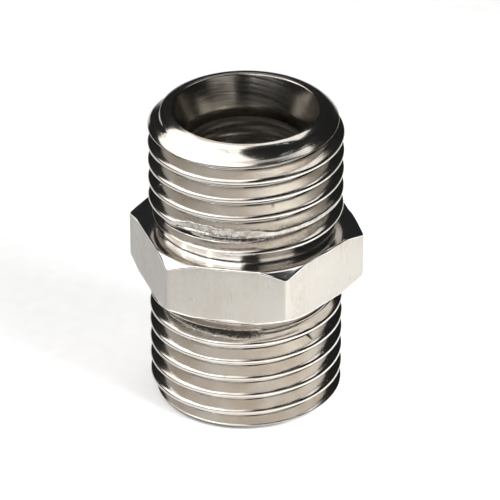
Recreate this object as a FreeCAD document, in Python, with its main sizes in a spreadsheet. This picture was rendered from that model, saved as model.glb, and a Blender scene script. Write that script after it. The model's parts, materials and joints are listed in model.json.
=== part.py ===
"""Hex nipple: a short double male pipe fitting, machined in one piece from 14 mm hexagon bar.

Each end carries a right-hand G 1/4 pipe thread, a waterway runs through it, and a hexagon between the
threads takes the spanner. The axis is +Z and the origin is the centre of the lower end face. The
hexagon's corners lie on X, so two of its flats face +Y and -Y. Lengths are millimetres.

Every size is a cell of the sheet "Sizes". The sketches and features read the cells by expressions.
"""
import FreeCAD, Part
import os
import re

import Sketcher

SIZES = {
    # Hexagon between the two threads, with 30 degree chamfers on its corners.
    "lower_length": 9.0,
    "hex_height": 4.0,
    "upper_length": 8.4,
    "across_flats": 14.0,
    "shoulder_diameter": 14.6,
    "corner_slope": 30.0,
    # G 1/4 thread: 19 turns to the inch, flanks 27.5 degrees from square, crests and roots truncated.
    "thread_major": 13.157,
    "thread_pitch": 1.337,
    "thread_depth": 0.856,
    "thread_root": 0.223,
    "flank_angle": 27.5,
    # Each end slopes from a flat land round the mouth to the crest of the first thread. The upper end's
    # land is narrower and its slope longer.
    "upper_land_diameter": 10.9,
    "upper_end_slope": 0.9,
    "lower_land_diameter": 11.86,
    "lower_end_slope": 0.65,
    # Narrow relief between each thread and the hexagon.
    "relief_width": 0.85,
    "relief_diameter": 12.4,
    # Waterway, with a 60 degree coned seat at each mouth.
    "bore_diameter": 8.0,
    "seat_diameter": 10.0,
    "seat_angle": 30.0,
    # Height on the +X side at which each thread's groove begins, and how far it climbs. The grooves
    # begin or end inside the hexagon, which is added after them, and run out past the ends.
    "lower_groove": -1.46,
    "upper_groove": 10.91,
    "groove_climb": 12.0,
    # How far a cutter reaches past the surface that it cuts.
    "overcut": 1.0,
}
# The least volume that any cut takes away, in cubic millimetres.
LEAST_CUT = 0.5
ALIASES = re.compile(r"\b(" + "|".join(SIZES) + r")\b")

document = FreeCAD.newDocument("HexNipple")


def make_sheet():
    """Write one row for each driving size: its name and its value, which carries the alias."""
    sheet = document.addObject("Spreadsheet::Sheet", "Sizes")
    for row, (alias, value) in enumerate(SIZES.items(), start=1):
        sheet.set(f"A{row}", alias.replace("_", " "))
        sheet.set(f"B{row}", str(value))
        sheet.setAlias(f"B{row}", alias)
    document.recompute()
    return sheet


def bound(expression):
    """Return the expression with each alias pointing at its cell."""
    return ALIASES.sub(r"Sizes.\1", expression)


def number(expression):
    """Work out an expression's present value."""
    return float(sizes.evalExpression(expression))


def origin_plane(body, role):
    """Find one of the body's own origin planes."""
    for feature in body.Origin.OriginFeatures:
        if feature.Role == role:
            return feature
    raise LookupError(role)


def add_profile(body, name, role, corners):
    """Sketch a closed outline on an origin plane, with each corner's two coordinates bound to the sheet."""
    sketch = body.newObject("Sketcher::SketchObject", name)
    sketch.AttachmentSupport = [(origin_plane(body, role), "")]
    sketch.MapMode = "FlatFace"
    points = []
    for across, up in corners:
        points.append(FreeCAD.Vector(number(across), number(up), 0))
    for start, end in zip(points, points[1:] + points[:1]):
        sketch.addGeometry(Part.LineSegment(start, end), False)
    for line in range(len(points)):
        following = (line + 1) % len(points)
        sketch.addConstraint(Sketcher.Constraint("Coincident", line, 2, following, 1))
    for line, (corner, point) in enumerate(zip(corners, points)):
        for kind, expression, value in zip(("DistanceX", "DistanceY"), corner, point):
            index = sketch.addConstraint(Sketcher.Constraint(kind, -1, 1, line, 1, value))
            sketch.setExpression(f"Constraints[{index}]", bound(expression))
    document.recompute()
    return sketch


def add_turned(body, kind, name, profile):
    """Turn a profile about the Z axis, to add material or to cut it away."""
    feature = body.newObject(kind, name)
    feature.Profile = profile
    feature.ReferenceAxis = (profile, ["V_Axis"])
    feature.Angle = 360
    document.recompute()


def add_stock(body):
    """Add the round bar at the thread's outer diameter, with sloping ends and the two reliefs."""
    shoulder = "(lower_length + hex_height)"
    length = "(lower_length + hex_height + upper_length)"
    outer = "thread_major / 2"
    profile = add_profile(body, "StockProfile", "XZ_Plane", [
        ("0", "0"),
        ("lower_land_diameter / 2", "0"),
        (outer, "lower_end_slope"),
        (outer, "lower_length - relief_width"),
        ("relief_diameter / 2", "lower_length - relief_width"),
        ("relief_diameter / 2", f"{shoulder} + relief_width"),
        (outer, f"{shoulder} + relief_width"),
        (outer, f"{length} - upper_end_slope"),
        ("upper_land_diameter / 2", length),
        ("0", length),
    ])
    add_turned(body, "PartDesign::Revolution", "Stock", profile)


def add_thread(body, name, start):
    """Cut one right-hand thread's groove, whose middle passes the given height on the +X side."""
    root_radius = "(thread_major / 2 - thread_depth)"
    root_half = "thread_root / 2"
    reach = "(thread_depth + overcut)"
    mouth_half = f"({root_half} + {reach} * tan(flank_angle * 1 deg))"
    profile = add_profile(body, f"{name}Profile", "XZ_Plane", [
        (root_radius, f"{start} - {root_half}"),
        (f"{root_radius} + {reach}", f"{start} - {mouth_half}"),
        (f"{root_radius} + {reach}", f"{start} + {mouth_half}"),
        (root_radius, f"{start} + {root_half}"),
    ])
    groove = body.newObject("PartDesign::SubtractiveHelix", name)
    groove.Profile = profile
    groove.ReferenceAxis = (profile, ["V_Axis"])
    groove.Mode = "pitch-height-angle"
    groove.setExpression("Pitch", bound("thread_pitch"))
    groove.setExpression("Height", bound("groove_climb"))
    document.recompute()


def add_hexagon(body):
    """Add the hexagon, whose six corners stand at the across-corners radius."""
    radius = "across_flats / sqrt(3)"
    corners = []
    for corner in range(6):
        angle = f"{60 * corner} deg"
        corners.append((f"{radius} * cos({angle})", f"{radius} * sin({angle})"))
    profile = add_profile(body, "HexagonProfile", "XY_Plane", corners)
    profile.setExpression("AttachmentOffset.Base.z", bound("lower_length"))
    document.recompute()
    pad = body.newObject("PartDesign::Pad", "Hexagon")
    pad.Profile = profile
    pad.setExpression("Length", bound("hex_height"))
    document.recompute()


def add_corner_chamfer(body, name, face, outward):
    """Turn the sloping chamfer across the hexagon's corners at one of its faces."""
    shoulder = "shoulder_diameter / 2"
    reach = f"({shoulder} + 2 * overcut)"
    drop = "2 * overcut * tan(corner_slope * 1 deg)"
    profile = add_profile(body, f"{name}Profile", "XZ_Plane", [
        (shoulder, face),
        (reach, f"{face} - {outward} * {drop}"),
        (reach, face),
    ])
    add_turned(body, "PartDesign::Groove", name, profile)


def add_waterway(body, name):
    """Bore the waterway through, with a coned seat at each mouth."""
    length = "(lower_length + hex_height + upper_length)"
    bore = "bore_diameter / 2"
    seat_depth = "((seat_diameter - bore_diameter) / 2 / tan(seat_angle * 1 deg))"
    profile = add_profile(body, f"{name}Profile", "XZ_Plane", [
        ("0", "0"),
        ("seat_diameter / 2", "0"),
        (bore, seat_depth),
        (bore, f"{length} - {seat_depth}"),
        ("seat_diameter / 2", length),
        ("0", length),
    ])
    add_turned(body, "PartDesign::Groove", name, profile)


def cut(body, add_feature, name, *settings):
    """Add a feature that cuts, and stop if it took nothing away."""
    before = body.Shape.Volume
    add_feature(body, name, *settings)
    if before - body.Shape.Volume < LEAST_CUT:
        raise RuntimeError(f"{name} cut nothing")


def make_nipple():
    """Build the fitting: round stock, two threads, the hexagon with its chamfers, and the waterway."""
    body = document.addObject("PartDesign::Body", "Nipple")
    body.Label = "hex_nipple_body"
    add_stock(body)
    cut(body, add_thread, "LowerThread", "lower_groove")
    cut(body, add_thread, "UpperThread", "upper_groove")
    add_hexagon(body)
    cut(body, add_corner_chamfer, "LowerCorners", "lower_length", "-1")
    cut(body, add_corner_chamfer, "UpperCorners", "(lower_length + hex_height)", "1")
    cut(body, add_waterway, "Waterway")
    return body


def check_nipple(body):
    """Stop if any object of the document failed, or if the body isn't one sound solid."""
    for item in document.Objects:
        if {"Invalid", "Error"} & set(item.State):
            raise RuntimeError(f"{item.Name}: {item.State}")
    if body.Shape.isNull() or not body.Shape.isValid() or len(body.Shape.Solids) != 1:
        raise RuntimeError(f"{body.Label} isn't one valid solid")


sizes = make_sheet()
nipple = make_nipple()
check_nipple(nipple)
os.makedirs("parts", exist_ok=True)
nipple.Shape.exportStep(f"parts/{nipple.Label}.step")
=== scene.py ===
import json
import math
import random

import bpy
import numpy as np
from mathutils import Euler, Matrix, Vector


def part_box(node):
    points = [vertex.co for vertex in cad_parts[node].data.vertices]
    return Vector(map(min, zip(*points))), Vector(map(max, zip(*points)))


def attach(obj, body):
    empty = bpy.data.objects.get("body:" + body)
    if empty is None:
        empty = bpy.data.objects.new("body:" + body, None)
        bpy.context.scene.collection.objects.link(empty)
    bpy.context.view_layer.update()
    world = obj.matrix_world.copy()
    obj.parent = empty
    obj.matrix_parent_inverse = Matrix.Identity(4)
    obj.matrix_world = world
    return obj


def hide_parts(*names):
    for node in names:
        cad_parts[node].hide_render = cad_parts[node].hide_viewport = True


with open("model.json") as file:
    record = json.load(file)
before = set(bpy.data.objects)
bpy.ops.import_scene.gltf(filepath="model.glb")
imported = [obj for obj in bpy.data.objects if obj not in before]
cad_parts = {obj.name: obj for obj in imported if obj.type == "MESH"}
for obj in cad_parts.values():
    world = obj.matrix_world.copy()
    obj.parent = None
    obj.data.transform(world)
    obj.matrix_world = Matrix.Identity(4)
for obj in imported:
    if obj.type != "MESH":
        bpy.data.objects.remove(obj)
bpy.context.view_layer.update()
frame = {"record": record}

# A nickel-plated hex nipple standing on a pale floor.
#
# The CAD solid gives the sizes and the places. One finer mesh replaces it, with the rounded crests and
# roots of the real thread, softened edges, torn stretches of thread and a few knocks, and with materials
# for the drawn flats, the turned faces, the threads, the seats and the bore. The flats and the seats are
# coloured darker than the rest of the plate, and the bore has dark blotches: painted shade. Lengths are
# in metres, and the mesh is worked out in cylindrical coordinates about the bore, which is the Z axis.

MM = 0.001
NODE = "hex_nipple_body"

# ---------------------------------------------------------------------------------------------------
# Sizes from the frame
# ---------------------------------------------------------------------------------------------------

mounts = {mount["name"]: mount for mount in frame["record"]["mounts"]}
far_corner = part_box(NODE)[1]
LENGTH = far_corner[2]
APOTHEM = far_corner[1]
HEX_LOW = mounts["lower_shoulder"]["pos_m"][2]
HEX_HIGH = mounts["upper_shoulder"]["pos_m"][2]
BORE = mounts["waterway"]["dims"]["r_mm"] * MM
CREST = mounts["upper_thread"]["dims"]["r_mm"] * MM

# ---------------------------------------------------------------------------------------------------
# Sizes of the fitting's details
# ---------------------------------------------------------------------------------------------------

PITCH = 1.337 * MM
THREAD_DEPTH = 0.856 * MM
THREAD_ROUND = 0.1373 * PITCH
FLANK = math.radians(27.5)
UPPER_CREST = 19.604 * MM        # height of an upper crest on the +X side
LOWER_CREST = 7.233 * MM         # height of a lower crest on the +X side

SEAT = 4.9 * MM
SEAT_ANGLE = math.radians(22.5)
SEAT_SOFT = 0.30 * MM            # rounding between the seat and the bore
MOUTH_SOFT = 0.10 * MM
LAND_START = 5.02 * MM
UPPER_FALL = 1.15 * MM           # drop from the upper mouth to the full crest diameter
SLOPE_OUT = (0.54, 0.84)         # the way the upper end bulges: out and up
UPPER_BULGE = 0.155 * MM         # how far the upper end stands out from a straight cone, on average
UPPER_SHIFT = 0.165 * MM         # and how much that changes round the fitting
UPPER_SHIFT_TOWARDS = math.radians(100)
LOWER_CHAMFER = 0.65 * MM
LOWER_SOFT = 0.22 * MM
BORE_ROUGH = 0.028 * MM          # height of the drill's marks in the bore
BORE_FADE = 0.3 * MM             # stretch over which those marks fade out at each seat
BORE_SEEN = 7.0 * MM             # stretch of the bore with finer rings in the mesh, below the upper seat
RELIEF = 6.02 * MM
RELIEF_WIDTH = 0.85 * MM
RELIEF_SOFT = 0.05 * MM
RUN_OUT = 0.9 * MM               # stretch over which the grooves grow to their full depth
CREST_SOFT = 0.03 * MM           # rounding where the thread meets its turned envelope
WAVINESS = 0.006 * MM            # how unevenly the thread is cut
NICKS = 0.012 * MM               # depth of the small nicks in the crests
CHATTER = 0.014 * MM             # height of the marks where the thread is torn
TORN_FADE = 0.3                  # fade round a torn stretch, in radians and in millimetres

SHOULDER = 7.3 * MM
CORNER_SLOPE = math.tan(math.radians(30))
SHOULDER_SOFT = 0.05 * MM
EDGE_SOFT = 0.10 * MM
EDGE_UNEVEN = 0.35               # how much the softness of the flats' edges changes, as a share
CORNER_POWER = 110               # higher for sharper upright corners

COLUMNS = 540
CORNER_COLUMNS = (0.35, 0.85, 1.3)      # degrees either side of a corner where a column is added
FLAT_ROWS = 9
BORE_ROWS = 60
SEEN_BORE_ROWS = 90


# ---------------------------------------------------------------------------------------------------
# The mesh
# ---------------------------------------------------------------------------------------------------

def column_angles():
    """Angles of the mesh's columns: evenly spaced, with more of them at the hexagon's corners."""
    even = np.arange(COLUMNS) * 2 * np.pi / COLUMNS
    extra = []
    for corner in range(6):
        for step in CORNER_COLUMNS:
            extra += [corner * 60 - step, corner * 60 + step]
    angles = np.concatenate([even, np.radians(extra) % (2 * np.pi)])
    return np.unique(np.round(angles, 7))


ANGLES = column_angles()


class Skin:
    """A mesh built from rings, each with one vertex per column."""

    def __init__(self):
        self.points = []
        self.worn = []
        self.faces = []
        self.slots = []
        self.count = 0

    def ring(self, radius, height, worn=0.0):
        """Add one ring at these radii and heights, with its wear, and return its vertex numbers."""
        radius = np.broadcast_to(radius, ANGLES.shape)
        height = np.broadcast_to(height, ANGLES.shape)
        self.points.append(np.column_stack([radius * np.cos(ANGLES), radius * np.sin(ANGLES), height]))
        self.worn.append(np.broadcast_to(worn, ANGLES.shape))
        numbers = np.arange(self.count, self.count + len(ANGLES))
        self.count += len(ANGLES)
        return numbers

    def face(self, corners, slot):
        """Add a face, without the corners that fall together."""
        kept = []
        for corner in corners:
            if corner not in kept:
                kept.append(corner)
        if len(kept) > 2:
            self.faces.append(kept)
            self.slots.append(slot)

    def bridge(self, first, second, slot):
        """Join two rings with quads. The second ring lies further along the walk down the outside."""
        for column in range(len(ANGLES)):
            following = (column + 1) % len(ANGLES)
            self.face(
                [int(first[column]), int(second[column]), int(second[following]), int(first[following])],
                slot,
            )

    def bridge_all(self, rings, slot):
        """Join each ring to the next one."""
        for first, second in zip(rings, rings[1:]):
            self.bridge(first, second, slot)

    def sheared(self, first, last, envelope, crest_height, slope, slot):
        """Skin one thread between two rings, on lines that follow the thread's helix.

        A line's place along the envelope falls by one pitch in a turn, so its last column meets the first
        column of the line one pitch back. Lines past either ring lie on that ring. The first stretch of
        the envelope, as long as slope, is the fitting's sloping end, which bulges more on one side.
        """
        walk, radii, heights = envelope
        span = walk[-1]
        straight = np.interp(-crest_height, -heights, walk)
        start = straight % PITCH - PITCH
        phases = thread_phases()
        per_turn = len(phases)
        turns = int(math.ceil((span - start) / PITCH)) + 1
        lines = (start + PITCH * np.arange(turns)[:, None] + phases[None, :]).ravel()
        along = lines[:, None] - PITCH * ANGLES[None, :] / (2 * np.pi)
        inside = (along > 0) & (along < span)
        rows = []
        for line in range(len(lines)):
            place = np.clip(along[line], 0, span)
            swell = end_swell(place, slope)
            height = np.interp(place, walk, heights) + SLOPE_OUT[1] * swell
            outer = np.interp(place, walk, radii) + SLOPE_OUT[0] * swell
            own = self.ring(*thread_surface(ANGLES, height, outer, crest_height))
            rows.append(np.where(inside[line], own, np.where(along[line] <= 0, first, last)))
        for line in range(len(lines) - 1):
            for column in range(len(ANGLES)):
                near = [rows[line][column], rows[line + 1][column]]
                if column + 1 < len(ANGLES):
                    far = [rows[line + 1][column + 1], rows[line][column + 1]]
                else:
                    far = [
                        rows[line + 1 - per_turn][0] if line + 1 >= per_turn else first[0],
                        rows[line - per_turn][0] if line >= per_turn else first[0],
                    ]
                self.face([int(number) for number in near + far], slot)

    def make(self, name, materials):
        """Turn the rings into a Blender mesh object, without the vertices that no face uses."""
        points = np.concatenate(self.points)
        used = np.unique(np.concatenate([np.array(face) for face in self.faces]))
        renumbered = np.full(len(points), -1)
        renumbered[used] = np.arange(len(used))
        mesh = bpy.data.meshes.new(name)
        mesh.from_pydata(points[used].tolist(), [], [renumbered[face].tolist() for face in self.faces])
        for material in materials:
            mesh.materials.append(material)
        mesh.polygons.foreach_set("material_index", self.slots)
        mesh.polygons.foreach_set("use_smooth", [True] * len(self.faces))
        worn = mesh.attributes.new("worn", "FLOAT", "POINT")
        worn.data.foreach_set("value", np.concatenate(self.worn)[used])
        mesh.update()
        piece = bpy.data.objects.new(name, mesh)
        bpy.context.scene.collection.objects.link(piece)
        return piece


# ---------------------------------------------------------------------------------------------------
# Outlines
# ---------------------------------------------------------------------------------------------------

def bend(start, corner, end, steps):
    """Points on a smooth bend from start to end, pulled towards the corner.

    A point is (radius, height), and both may be arrays with one value for each column.
    """
    start, corner, end = np.array(start), np.array(corner), np.array(end)
    share = np.linspace(0, 1, steps + 1).reshape(-1, *[1] * start.ndim)
    return (1 - share) ** 2 * start + 2 * share * (1 - share) * corner + share ** 2 * end


def softened(corners, softness):
    """An outline of (radius, height) corners, each inner one rounded off over its own softness."""
    corners = [np.array(corner, dtype=float) for corner in corners]
    outline = [corners[0]]
    for before, corner, after, soft in zip(corners, corners[1:], corners[2:], softness):
        back = (before - corner) / np.linalg.norm(before - corner)
        onward = (after - corner) / np.linalg.norm(after - corner)
        outline += list(bend(corner + back * soft, corner, corner + onward * soft, 8))
    outline.append(corners[-1])
    return np.array(outline)


def walked(outline):
    """The outline as (distance walked, radii, heights)."""
    steps = np.linalg.norm(np.diff(outline, axis=0), axis=1)
    return np.concatenate([[0], np.cumsum(steps)]), outline[:, 0], outline[:, 1]


# ---------------------------------------------------------------------------------------------------
# Threads
# ---------------------------------------------------------------------------------------------------

def thread_phases():
    """Places of the mesh lines across one pitch, from the crest's middle.

    They are closer on the rounded crest and root than on the straight flanks.
    """
    arc = THREAD_ROUND * math.cos(FLANK)
    half = PITCH / 2
    places = np.concatenate([
        np.linspace(-arc, arc, 9)[:-1],
        np.linspace(arc, half - arc, 7)[:-1],
        np.linspace(half - arc, half + arc, 8)[:-1],
        np.linspace(half + arc, PITCH - arc, 7)[:-1],
    ])
    return np.sort(places % PITCH)


def thread_radius(angle, height, crest_height):
    """Radius of a clean thread: rounded crests, straight flanks and rounded roots."""
    turn = crest_height + PITCH * angle / (2 * np.pi)
    off = np.abs((height - turn + PITCH / 2) % PITCH - PITCH / 2)
    arc = THREAD_ROUND * math.cos(FLANK)
    back = PITCH / 2 - off
    crest = CREST - THREAD_ROUND + np.sqrt(np.maximum(THREAD_ROUND ** 2 - off ** 2, 0))
    root = CREST - THREAD_DEPTH + THREAD_ROUND - np.sqrt(np.maximum(THREAD_ROUND ** 2 - back ** 2, 0))
    flank_top = CREST - THREAD_ROUND * (1 - math.sin(FLANK))
    flank = flank_top - (off - arc) / math.tan(FLANK)
    return np.where(off < arc, crest, np.where(back < arc, root, flank))


def smaller(first, second, blend):
    """The smaller of two lengths, with the change from one to the other rounded over the blend."""
    share = np.clip(0.5 + 0.5 * (second - first) / blend, 0, 1)
    return second * (1 - share) + first * share - blend * share * (1 - share)


def ripple(seed, around, along, terms=28):
    """A smooth random pattern over angle and height, about 1 at its highest, that closes on itself."""
    draw = random.Random(seed)
    waves = []
    for _ in range(terms):
        waves.append((
            draw.randint(-around, around),
            draw.uniform(-along, along) / MM,
            draw.uniform(0, 2 * math.pi),
        ))

    def pattern(angle, height):
        total = 0
        for turns, rise, phase in waves:
            total = total + np.sin(turns * angle + rise * height + phase)
        return total / math.sqrt(terms)

    return pattern


wander = ripple(seed=3, around=9, along=1.2)
boring = ripple(seed=55, around=7, along=15, terms=40)
chatter = ripple(seed=5, around=240, along=26)
tearing = ripple(seed=8, around=60, along=6)
nicking = ripple(seed=13, around=120, along=3)


def window(away, half_width, fade):
    """1 near the centre and 0 beyond the half width, with a smooth fade between."""
    share = np.clip((half_width - np.abs(away)) / fade, 0, 1)
    return share * share * (3 - 2 * share)


def turned_from(angle, centre):
    """Signed angle from the centre, between minus pi and pi."""
    return (angle - centre + np.pi) % (2 * np.pi) - np.pi


def end_swell(place, slope):
    """How much further out the sloping end stands than its mean, where its bulge is uneven."""
    if slope == 0:
        return 0 * place
    share = np.clip(place / slope, 0, 1)
    return UPPER_SHIFT * np.cos(ANGLES - UPPER_SHIFT_TOWARDS) * np.sin(np.pi * share) ** 2


# Where the die tore the thread: middle angle and half width in degrees, middle height and half height
# in millimetres, how much of the crest is lost, and how rough and how dark it is left.
TORN = (
    (-95, 36, 15.30, 0.50, 0.45, 0.5),
    (-92, 30, 14.64, 0.24, 0.00, 2.2),
    (-38, 34, 15.40, 0.50, 0.10, 0.5),
    (-52, 30, 14.80, 0.35, 0.00, 0.4),
    (90, 60, 14.90, 0.60, 0.12, 0.6),
    (-112, 38, 7.95, 0.35, 0.16, 0.5),
    (-110, 46, 7.50, 0.34, 0.00, 3.0),
    (110, 50, 7.40, 0.60, 0.10, 0.5),
)
# Small pits and knocks: angle in degrees, height, radius and depth in millimetres. The deeper a pit,
# the darker it is coloured.
PITS = (
    (-34.0, 6.25, 0.13, 0.14),
    (-92.0, 4.35, 0.14, 0.02),
    (-61.0, 17.55, 0.14, 0.04),
    (-58.0, 16.05, 0.16, 0.06),
    (35.0, 18.2, 0.22, 0.06),
    (150.0, 3.1, 0.24, 0.06),
    (-150.0, 16.9, 0.2, 0.06),
)


def thread_surface(angle, height, envelope, crest_height):
    """The worn and slightly ragged thread inside its turned envelope: its radius, height and wear."""
    worn = 0 * angle
    radius = thread_radius(angle, height, crest_height)
    from_hexagon = np.maximum(height - HEX_HIGH, HEX_LOW - height)
    deepest = [RELIEF + 2 * CREST_SOFT, CREST - THREAD_DEPTH]
    radius = np.maximum(radius, np.interp(from_hexagon, [RELIEF_WIDTH, RELIEF_WIDTH + RUN_OUT], deepest))
    radius = radius + WAVINESS * wander(angle, height)
    loss = NICKS * np.clip(nicking(angle, height) - 0.9, 0, 1)
    for middle, half_width, level, half_height, lost, rough in TORN:
        around = window(turned_from(angle, math.radians(middle)), math.radians(half_width), TORN_FADE)
        share = around * window(height / MM - level, half_height, TORN_FADE)
        loss = loss + share * lost * MM * np.clip(0.9 + 0.1 * tearing(angle, height), 0, 1.2)
        radius = radius + share * min(rough, 1) * CHATTER * chatter(angle, height)
        worn = np.maximum(worn, share * rough)
    radius = smaller(radius, np.minimum(envelope, CREST - loss), CREST_SOFT)
    for middle, level, size, depth in PITS:
        across = turned_from(angle, math.radians(middle)) * CREST / MM
        away = np.sqrt(across ** 2 + (height / MM - level) ** 2)
        radius = radius - depth * MM * np.clip(1 - (away / size) ** 2, 0, 1) ** 0.5
        worn = np.maximum(worn, np.clip(1.3 - away / size, 0, 1) * min(depth / 0.06, 2.5))
    return radius, height, worn


# ---------------------------------------------------------------------------------------------------
# Hexagon
# ---------------------------------------------------------------------------------------------------

def hexagon_radius():
    """Radius of the hexagon in each column, with its upright corners rounded off."""
    total = 0
    for flat in range(6):
        facing = np.cos(ANGLES - math.radians(60 * flat + 30))
        total = total + np.maximum(facing, 0) ** CORNER_POWER
    return APOTHEM / total ** (1 / CORNER_POWER)


def corner_drop(radius):
    """How far the chamfer has dropped below the shoulder at this radius."""
    past = radius - SHOULDER
    return CORNER_SLOPE * 0.5 * (past + np.sqrt(past ** 2 + SHOULDER_SOFT ** 2))


def corner_steepness(radius):
    """How steeply the chamfer falls at this radius."""
    past = radius - SHOULDER
    return CORNER_SLOPE * 0.5 * (1 + past / np.sqrt(past ** 2 + SHOULDER_SOFT ** 2))


# Radii of the rings across the hexagon's face and its corner chamfers, in millimetres. They are closest
# where the chamfers begin.
FACE_RADII = (6.2, 6.45, 6.7, 6.85)
CHAMFER_RADII = (6.95, 7.03, 7.11, 7.18, 7.23, 7.27, 7.3, 7.33, 7.37, 7.42, 7.5, 7.6, 7.7, 7.8, 7.9)
LEAST_GAP = 0.01 * MM            # a ring that comes closer to the flats' edge joins it


def hexagon_side(skin, inner, shoulder, outward, seed):
    """Rings from the relief's inner ring out over one end of the hexagon to the top of its flats.

    outward is 1 for the upper end and -1 for the lower. Returns (rings, where the flats start).
    """
    rings = [inner]
    fillet = bend((RELIEF, RELIEF_SOFT), (RELIEF, 0), (RELIEF + RELIEF_SOFT, 0), 4)
    for radius, rise in fillet:
        rings.append(skin.ring(radius, shoulder + outward * rise))
    flats = hexagon_radius()
    uneven = ripple(seed, around=40, along=1)
    soft = EDGE_SOFT * (1 + EDGE_UNEVEN * uneven(ANGLES, 0))
    steep = corner_steepness(flats)
    tip = corner_drop(flats)
    length = np.sqrt(1 + steep ** 2)
    start = (flats - soft / length, tip - steep * soft / length)
    end = (flats, tip + soft)
    edge = []
    for radius, drop in bend(start, (flats, tip), end, 5):
        edge.append(skin.ring(radius, shoulder - outward * drop))
    for radius in FACE_RADII + CHAMFER_RADII:
        radius = radius * MM
        own = skin.ring(radius, shoulder - outward * corner_drop(radius))
        rings.append(np.where(radius < start[0] - LEAST_GAP, own, edge[0]))
    return rings + edge, end[1]


# ---------------------------------------------------------------------------------------------------
# The whole fitting
# ---------------------------------------------------------------------------------------------------

# The mesh's material slots, in the order of make_materials.
TURNED, THREAD, FLATS, INSIDE, CONE = range(5)


def neck_outline(start, shoulder, outward):
    """Outline from a height on the crests down into the relief."""
    wall = shoulder + outward * RELIEF_WIDTH
    return softened([
        (CREST, start),
        (CREST, wall + outward * 0.1 * MM),
        (RELIEF, wall),
        (RELIEF, shoulder + outward * 0.3 * MM),
    ], (0.08 * MM, 0.05 * MM))


def upper_outline():
    """Outline from the upper mouth over the bulging slope and down the thread into the relief."""
    start = np.array([LAND_START, LENGTH])
    finish = np.array([CREST, LENGTH - UPPER_FALL])
    middle = (start + finish) / 2 + 2 * UPPER_BULGE * np.array(SLOPE_OUT)
    slope = bend(start, middle, finish, 20)
    return np.concatenate([slope, neck_outline(LENGTH - UPPER_FALL - 0.1 * MM, HEX_HIGH, 1)])


def lower_outline():
    """Outline from the relief down the lower thread and over its small chamfer to the lower mouth."""
    chamfer = softened([
        (LAND_START, 0),
        (CREST - LOWER_CHAMFER, 0),
        (CREST, LOWER_CHAMFER),
        (CREST, LOWER_CHAMFER + 0.2 * MM),
    ], (LOWER_SOFT, 0.12 * MM))
    return np.concatenate([chamfer, neck_outline(LOWER_CHAMFER + 0.3 * MM, HEX_LOW, -1)])[::-1]


def mouth_outline(face, outward):
    """Outline of one mouth from the bore's wall over the coned seat to the end face."""
    seat_depth = (SEAT - BORE) / math.tan(SEAT_ANGLE)
    corners = [
        (BORE, face - outward * (seat_depth + 2 * SEAT_SOFT)),
        (BORE, face - outward * seat_depth),
        (SEAT, face),
        (LAND_START, face),
    ]
    return softened(corners, (SEAT_SOFT, MOUTH_SOFT))


def add_threads(skin, upper_mouth, lower_mouth):
    """Skin both threads, and return the rings where they end in their reliefs.

    The upper thread is walked downwards from its mouth. The lower one is walked downwards from its relief.
    """
    upper = upper_outline()
    upper_relief = skin.ring(*upper[-1])
    slope = math.hypot(CREST - LAND_START, UPPER_FALL)
    skin.sheared(upper_mouth[-1], upper_relief, walked(upper), UPPER_CREST, slope, THREAD)
    lower = lower_outline()
    lower_relief = skin.ring(*lower[0])
    skin.sheared(lower_relief, lower_mouth[-1], walked(lower), LOWER_CREST, 0, THREAD)
    return upper_relief, lower_relief


def add_hexagon(skin, upper_relief, lower_relief):
    """Skin the hexagon from one relief to the other: its upper face, its flats and its lower face."""
    top, top_edge = hexagon_side(skin, upper_relief, HEX_HIGH, 1, seed=21)
    bottom, bottom_edge = hexagon_side(skin, lower_relief, HEX_LOW, -1, seed=34)
    flats = [top[-1]]
    for share in np.linspace(0, 1, FLAT_ROWS)[1:-1]:
        height = (HEX_HIGH - top_edge) * (1 - share) + (HEX_LOW + bottom_edge) * share
        flats.append(skin.ring(hexagon_radius(), height))
    flats.append(bottom[-1])
    skin.bridge_all(top, TURNED)
    skin.bridge_all(flats, FLATS)
    skin.bridge_all(bottom[::-1], TURNED)


def add_waterway(skin, upper_mouth, lower_mouth, low, high):
    """Skin the two seats, and the bore between the heights where they end."""
    skin.bridge_all(upper_mouth, CONE)
    skin.bridge_all(lower_mouth[::-1], CONE)
    bore = [lower_mouth[0]]
    coarse = np.linspace(low, high - BORE_SEEN, BORE_ROWS)[1:]
    fine = np.linspace(high - BORE_SEEN, high, SEEN_BORE_ROWS)[1:-1]
    for height in np.concatenate([coarse, fine]):
        fade = np.clip(min(height - low, high - height) / BORE_FADE, 0, 1)
        bore.append(skin.ring(BORE + fade * BORE_ROUGH * boring(ANGLES, height), height))
    bore.append(upper_mouth[0])
    skin.bridge_all(bore, INSIDE)


def build_skin():
    """Skin the whole fitting."""
    skin = Skin()
    upper = mouth_outline(LENGTH, 1)
    lower = mouth_outline(0, -1)
    upper_mouth = [skin.ring(radius, height) for radius, height in upper]
    lower_mouth = [skin.ring(radius, height) for radius, height in lower]
    reliefs = add_threads(skin, upper_mouth, lower_mouth)
    add_hexagon(skin, *reliefs)
    add_waterway(skin, upper_mouth, lower_mouth, lower[0][1], upper[0][1])
    return skin


# ---------------------------------------------------------------------------------------------------
# Materials
# ---------------------------------------------------------------------------------------------------

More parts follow.
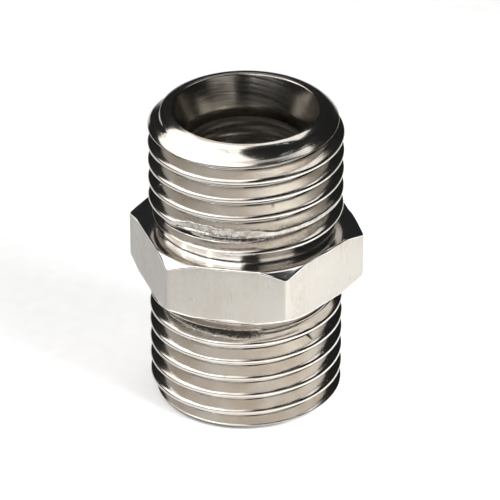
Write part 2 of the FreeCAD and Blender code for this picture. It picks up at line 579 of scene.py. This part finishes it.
class Nodes:
    """A short way to write a material's node tree."""

    def __init__(self, name):
        self.material = bpy.data.materials.new(name)
        self.material.use_nodes = True
        self.tree = self.material.node_tree
        self.shader = self.tree.nodes["Principled BSDF"]
        self.place = self.tree.nodes.new("ShaderNodeTexCoord").outputs["Object"]

    def link(self, source, target):
        """Feed a socket from an output, or set it to a plain value."""
        if isinstance(source, (int, float, tuple)):
            target.default_value = source
        else:
            self.tree.links.new(source, target)

    def maths(self, operation, first, second=0.0):
        node = self.tree.nodes.new("ShaderNodeMath")
        node.operation = operation
        self.link(first, node.inputs[0])
        self.link(second, node.inputs[1])
        return node.outputs[0]

    def stretched(self, across, along):
        """Object coordinates, scaled by one factor in X and Y and by another in Z."""
        node = self.tree.nodes.new("ShaderNodeVectorMath")
        node.operation = "MULTIPLY"
        self.link(self.place, node.inputs[0])
        node.inputs[1].default_value = (across, across, along)
        return node.outputs[0]

    def turned(self, per_radius, per_height, around):
        """Coordinates that change with radius and height, and only slowly on the way round."""
        split = self.tree.nodes.new("ShaderNodeSeparateXYZ")
        self.link(self.place, split.inputs[0])
        squares = [self.maths("MULTIPLY", split.outputs[axis], split.outputs[axis]) for axis in (0, 1)]
        radius = self.maths("SQRT", self.maths("ADD", *squares))
        rings = self.maths("MULTIPLY", radius, per_radius)
        levels = self.maths("MULTIPLY", split.outputs[2], per_height)
        joined = self.tree.nodes.new("ShaderNodeCombineXYZ")
        sideways = [self.maths("MULTIPLY", split.outputs[axis], around) for axis in (0, 1)]
        self.link(self.maths("ADD", self.maths("ADD", rings, levels), sideways[0]), joined.inputs[0])
        self.link(sideways[1], joined.inputs[1])
        return joined.outputs[0]

    def attribute(self, name):
        """A value stored on the mesh's vertices."""
        node = self.tree.nodes.new("ShaderNodeAttribute")
        node.attribute_name = name
        return node.outputs["Fac"]

    def noise(self, vector, scale=1.0, detail=3.0, roughness=0.55):
        node = self.tree.nodes.new("ShaderNodeTexNoise")
        self.link(vector, node.inputs["Vector"])
        node.inputs["Scale"].default_value = scale
        node.inputs["Detail"].default_value = detail
        node.inputs["Roughness"].default_value = roughness
        return node.outputs["Fac"]

    def spread(self, value, low, high, to_low, to_high):
        """Map a range of values onto another one, and hold it at both ends."""
        node = self.tree.nodes.new("ShaderNodeMapRange")
        self.link(value, node.inputs["Value"])
        for name, number in zip(("From Min", "From Max", "To Min", "To Max"), (low, high, to_low, to_high)):
            node.inputs[name].default_value = number
        return node.outputs["Result"]

    def mix(self, share, first, second):
        """Mix two colours: the second one's share runs from 0 to 1."""
        node = self.tree.nodes.new("ShaderNodeMix")
        node.data_type = "RGBA"
        self.link(share, node.inputs["Factor"])
        for socket, colour in ((node.inputs[6], first), (node.inputs[7], second)):
            self.link((*colour, 1.0) if isinstance(colour, tuple) else colour, socket)
        return node.outputs[2]

    def bump(self, layers):
        """Chain bumps: each layer is (height output, distance in metres, strength)."""
        normal = None
        for height, distance, strength in layers:
            node = self.tree.nodes.new("ShaderNodeBump")
            self.link(height, node.inputs["Height"])
            node.inputs["Distance"].default_value = distance
            node.inputs["Strength"].default_value = strength
            if normal is not None:
                self.tree.links.new(normal, node.inputs["Normal"])
            normal = node.outputs["Normal"]
        self.tree.links.new(normal, self.shader.inputs["Normal"])


NICKEL = (0.535, 0.51, 0.473)
NICKEL_WARM = (0.42, 0.36, 0.30)
NICKEL_DULL = (0.36, 0.335, 0.30)
NICKEL_TURNED = (0.74, 0.725, 0.70)
# Painted shade: the flats' two colours are darker than the rest of the plate, standing in for the dimmer
# floor light that the flats reflect.
NICKEL_FLAT_SHADED = (0.36, 0.342, 0.312)
FLAT_WARM_SHADED = (0.34, 0.313, 0.274)
# Near-black colour mixed in where the mesh is torn or pitted; deeper pits get more of it.
NICKEL_TORN = (0.10, 0.088, 0.075)
BORE_METAL = (0.58, 0.55, 0.51)
# Painted shade: this colour for the bore's blotches, and the two seat colours after it, are darker than the
# plate, standing in for the shade inside the hole.
BORE_SHADE = (0.28, 0.26, 0.24)
SEAT_METAL_SHADED = (0.36, 0.335, 0.30)
SEAT_SHADE = (0.08, 0.075, 0.065)


def nickel(name, marks, mark_depth, rough_low, rough_high, bright=NICKEL, blotch_tone_and_shade=NICKEL_WARM, stain=0.35):
    """Bright nickel plate: blotches of a browner tone, faint stains, and fine marks in the given
    coordinates.
    On the flats, the seats and the bore, the darker colours passed in are painted shade.

    Where the mesh is worn, on the torn thread and in the pits, it is darker, rougher and gritty; the deeper
    a pit, the darker it is.
    """
    nodes = Nodes(name)
    nodes.shader.inputs["Metallic"].default_value = 1.0
    blotches = nodes.noise(nodes.place, scale=420, detail=4)
    specks = nodes.noise(nodes.place, scale=2600, detail=2)
    fine = nodes.noise(marks(nodes), detail=4, roughness=0.6)
    # The blotches are the plate's own browner tone on the threads and turned faces; on the flats, the seats
    # and the bore their colour is darker with painted shade.
    tint_and_shade = nodes.spread(blotches, 0.38, 0.68, 0.0, 0.55)
    stains = nodes.spread(specks, 0.66, 0.80, 0.0, stain)
    plate = nodes.mix(tint_and_shade, bright, blotch_tone_and_shade)
    plate = nodes.mix(stains, plate, NICKEL_DULL)
    worn = nodes.attribute("worn")
    grit = nodes.noise(nodes.place, scale=5200, detail=3, roughness=0.7)
    # Darker where the mesh is torn or pitted, most in the deepest pits.
    darkening = nodes.maths("MULTIPLY", worn, nodes.spread(grit, 0.42, 0.58, 0.3, 1.0))
    plate = nodes.mix(darkening, plate, NICKEL_TORN)
    nodes.link(plate, nodes.shader.inputs["Base Color"])
    wear = nodes.maths("ADD", nodes.maths("MULTIPLY", fine, 0.6), nodes.maths("MULTIPLY", blotches, 0.4))
    rough = nodes.spread(wear, 0.35, 0.65, rough_low, rough_high)
    rough = nodes.maths("ADD", rough, nodes.maths("MULTIPLY", worn, 0.18))
    nodes.link(rough, nodes.shader.inputs["Roughness"])
    pits = nodes.spread(nodes.noise(nodes.place, scale=3400, detail=1), 0.68, 0.76, 1.0, 0.0)
    nodes.bump([
        (nodes.noise(nodes.place, scale=260, detail=2), 0.02 * MM, 0.35),
        (fine, mark_depth, 0.5),
        (pits, 0.006 * MM, 0.4),
        (nodes.maths("MULTIPLY", grit, worn), 0.11 * MM, 0.9),
    ])
    return nodes.material


def turning_marks(nodes):
    """Rings, as a lathe's tool leaves on a face."""
    return nodes.turned(per_radius=9000, per_height=5000, around=160)


def thread_marks(nodes):
    """Rings that are broader in height, as a die leaves on the flanks."""
    return nodes.turned(per_radius=7000, per_height=900, around=260)


def drawing_marks(nodes):
    """Upright lines, as on a drawn bar."""
    return nodes.stretched(across=3600, along=160)


def boring_marks(nodes):
    """Level rings, as a drill leaves in a bore."""
    return nodes.turned(per_radius=500, per_height=3400, around=420)


def make_materials():
    return [
        nickel("nickel_turned", turning_marks, 0.003 * MM, 0.07, 0.16, NICKEL_TURNED),
        nickel("nickel_thread", thread_marks, 0.012 * MM, 0.08, 0.19),
        # The flats' darker colours are painted shade.
        nickel("nickel_drawn_flats_painted_shade", drawing_marks, 0.0015 * MM, 0.20, 0.32, NICKEL_FLAT_SHADED, FLAT_WARM_SHADED),
        # The bore's dark blotches and the seat's darker colours are painted shade.
        nickel("nickel_bore_and_painted_shade", boring_marks, 0.012 * MM, 0.24, 0.42, BORE_METAL, BORE_SHADE, 0.6),
        nickel("nickel_seat_painted_shade", boring_marks, 0.02 * MM, 0.12, 0.28, SEAT_METAL_SHADED, SEAT_SHADE, 0.6),
    ]


# ---------------------------------------------------------------------------------------------------
# The studio
# ---------------------------------------------------------------------------------------------------

FLOOR_SIZE = 1.8


def paper_material():
    """Matt white paper with a faint grain."""
    nodes = Nodes("white_paper")
    grain = nodes.noise(nodes.place, scale=900, detail=3)
    paper = nodes.mix(nodes.spread(grain, 0.3, 0.7, 0.0, 1.0), (0.86, 0.86, 0.86), (0.89, 0.89, 0.89))
    nodes.link(paper, nodes.shader.inputs["Base Color"])
    nodes.shader.inputs["Roughness"].default_value = 0.9
    nodes.bump([(grain, 0.02 * MM, 0.3)])
    return nodes.material


def make_floor():
    """The plain floor that the fitting stands on."""
    mesh = bpy.data.meshes.new("floor")
    half = FLOOR_SIZE / 2
    corners = [(-half, -half, 0), (half, -half, 0), (half, half, 0), (-half, half, 0)]
    mesh.from_pydata(corners, [], [(0, 1, 2, 3)])
    mesh.materials.append(paper_material())
    floor = bpy.data.objects.new("floor", mesh)
    bpy.context.scene.collection.objects.link(floor)


def make_lamp(name, middle, towards, size, radiance, colour):
    """A soft rectangular light at a point, facing along a direction, with its long side level."""
    light = bpy.data.lights.new(name, "AREA")
    light.shape = "RECTANGLE"
    light.size, light.size_y = size
    light.energy = radiance * math.pi * size[0] * size[1]
    light.color = colour
    lamp = bpy.data.objects.new(name, light)
    bpy.context.scene.collection.objects.link(lamp)
    lamp.location = middle
    lamp.rotation_mode = "QUATERNION"
    lamp.rotation_quaternion = towards.to_track_quat("-Z", "Y")
    lamp.visible_camera = False
    return lamp


def make_wall(name, azimuth, elevation, half_azimuth, half_elevation, radiance, colour, distance=0.42):
    """A light that stands round the fitting. Azimuth 0 is the camera's side and 90 its right."""
    turn, rise = math.radians(VIEW_AZIMUTH + azimuth), math.radians(elevation)
    reach = Vector((math.sin(turn) * math.cos(rise), -math.cos(turn) * math.cos(rise), math.sin(rise)))
    size = (
        2 * distance * math.cos(rise) * math.tan(math.radians(half_azimuth)),
        2 * distance * math.tan(math.radians(half_elevation)),
    )
    return make_lamp(name, Vector((0, 0, LENGTH / 2)) + reach * distance, -reach, size, radiance, colour)


def make_ceiling(name, across, away, turn, size, radiance, colour, height=0.42):
    """A level light overhead, turned about the upright.

    Its place and size are shares of its height. Its place is across to the camera's right, and away from
    the camera.
    """
    side = math.radians(VIEW_AZIMUTH)
    middle = Vector((
        height * (across * math.cos(side) - away * math.sin(side)),
        height * (across * math.sin(side) + away * math.cos(side)),
        height + LENGTH / 2,
    ))
    size = (size[0] * height, size[1] * height)
    lamp = make_lamp(name, middle, Vector((0, 0, -1)), size, radiance, colour)
    lamp.rotation_quaternion = Euler((0, 0, side + math.radians(turn))).to_quaternion()
    return lamp


VIEW_AZIMUTH = 10.6
VIEW_ELEVATION = 30.3
VIEW_DISTANCE = 239.7 * MM
VIEW_LENS = 255.1
VIEW_AIM = (0.27 * MM, 11.35 * MM, -0.745 * MM)     # right of the axis, height on it, up the picture


def make_camera():
    """The camera, at the photograph's azimuth and elevation, in degrees."""
    camera = bpy.data.objects.new("camera", bpy.data.cameras.new("camera"))
    bpy.context.scene.collection.objects.link(camera)
    camera.data.sensor_width = 36
    camera.data.lens = VIEW_LENS
    camera.data.clip_start = 0.01
    camera.data.clip_end = 10
    turn, rise = math.radians(VIEW_AZIMUTH), math.radians(VIEW_ELEVATION)
    back = Vector((math.sin(turn) * math.cos(rise), -math.cos(turn) * math.cos(rise), math.sin(rise)))
    right = Vector((math.cos(turn), math.sin(turn), 0))
    up = back.cross(right)
    aside, level, lift = VIEW_AIM
    aim = Vector((0, 0, level)) + right * aside + up * lift
    camera.location = aim + back * VIEW_DISTANCE
    camera.rotation_mode = "QUATERNION"
    camera.rotation_quaternion = (-back).to_track_quat("-Z", "Y")
    bpy.context.scene.camera = camera


def make_world():
    """Pale where the camera sees past the floor, and dim like a studio's far walls elsewhere."""
    world = bpy.data.worlds.new("studio")
    bpy.context.scene.world = world
    world.use_nodes = True
    tree = world.node_tree
    dim = tree.nodes["Background"]
    dim.inputs["Color"].default_value = (0.9, 0.95, 1.0, 1.0)
    dim.inputs["Strength"].default_value = 0.025
    pale = tree.nodes.new("ShaderNodeBackground")
    pale.inputs["Color"].default_value = (1.0, 1.0, 1.0, 1.0)
    pale.inputs["Strength"].default_value = 0.9
    path = tree.nodes.new("ShaderNodeLightPath")
    either = tree.nodes.new("ShaderNodeMixShader")
    tree.links.new(path.outputs["Is Camera Ray"], either.inputs["Fac"])
    tree.links.new(dim.outputs[0], either.inputs[1])
    tree.links.new(pale.outputs[0], either.inputs[2])
    tree.links.new(either.outputs[0], tree.nodes["World Output"].inputs["Surface"])


WARM_WHITE = (1.0, 0.955, 0.90)
WHITE = (1.0, 1.0, 1.0)
COOL_WHITE = (0.75, 0.87, 1.0)


def make_lights():
    """A bright bank at the left, soft light overhead, and dim gaps between them.

    The gap in front holds the camera. The last light fills the floor and doesn't show in the metal.
    """
    for number, azimuth in enumerate((-28, -67, -106)):
        make_wall(f"left_bank_{number}", azimuth, 42, 25, 15, 2.4, WHITE)
    make_ceiling("left_ceiling", -0.427, -0.093, -23, (0.90, 0.56), 2.4, WHITE)
    make_ceiling("back_left_ceiling", -0.28, 0.476, -23, (0.84, 0.60), 1.2, WARM_WHITE)
    make_ceiling("back_right_ceiling", 0.33, 0.42, 12, (0.80, 0.60), 1.7, WHITE)
    make_ceiling("right_strip", 0.50, -0.02, 8, (0.22, 0.025), 2.2, COOL_WHITE)
    make_wall("right_wall", 40, 25, 22, 6, 1.2, WARM_WHITE)
    fill = make_wall("floor_fill", 55, 30, 22, 22, 14.0, WHITE, distance=0.045)
    fill.visible_glossy = False


nipple = build_skin().make("hex_nipple", make_materials())
weighted = nipple.modifiers.new("weighted normals", "WEIGHTED_NORMAL")
weighted.weight = 60
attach(nipple, "root")
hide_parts(NODE)

make_floor()
make_lights()
make_world()
make_camera()
bpy.context.scene.view_settings.view_transform = "Standard"
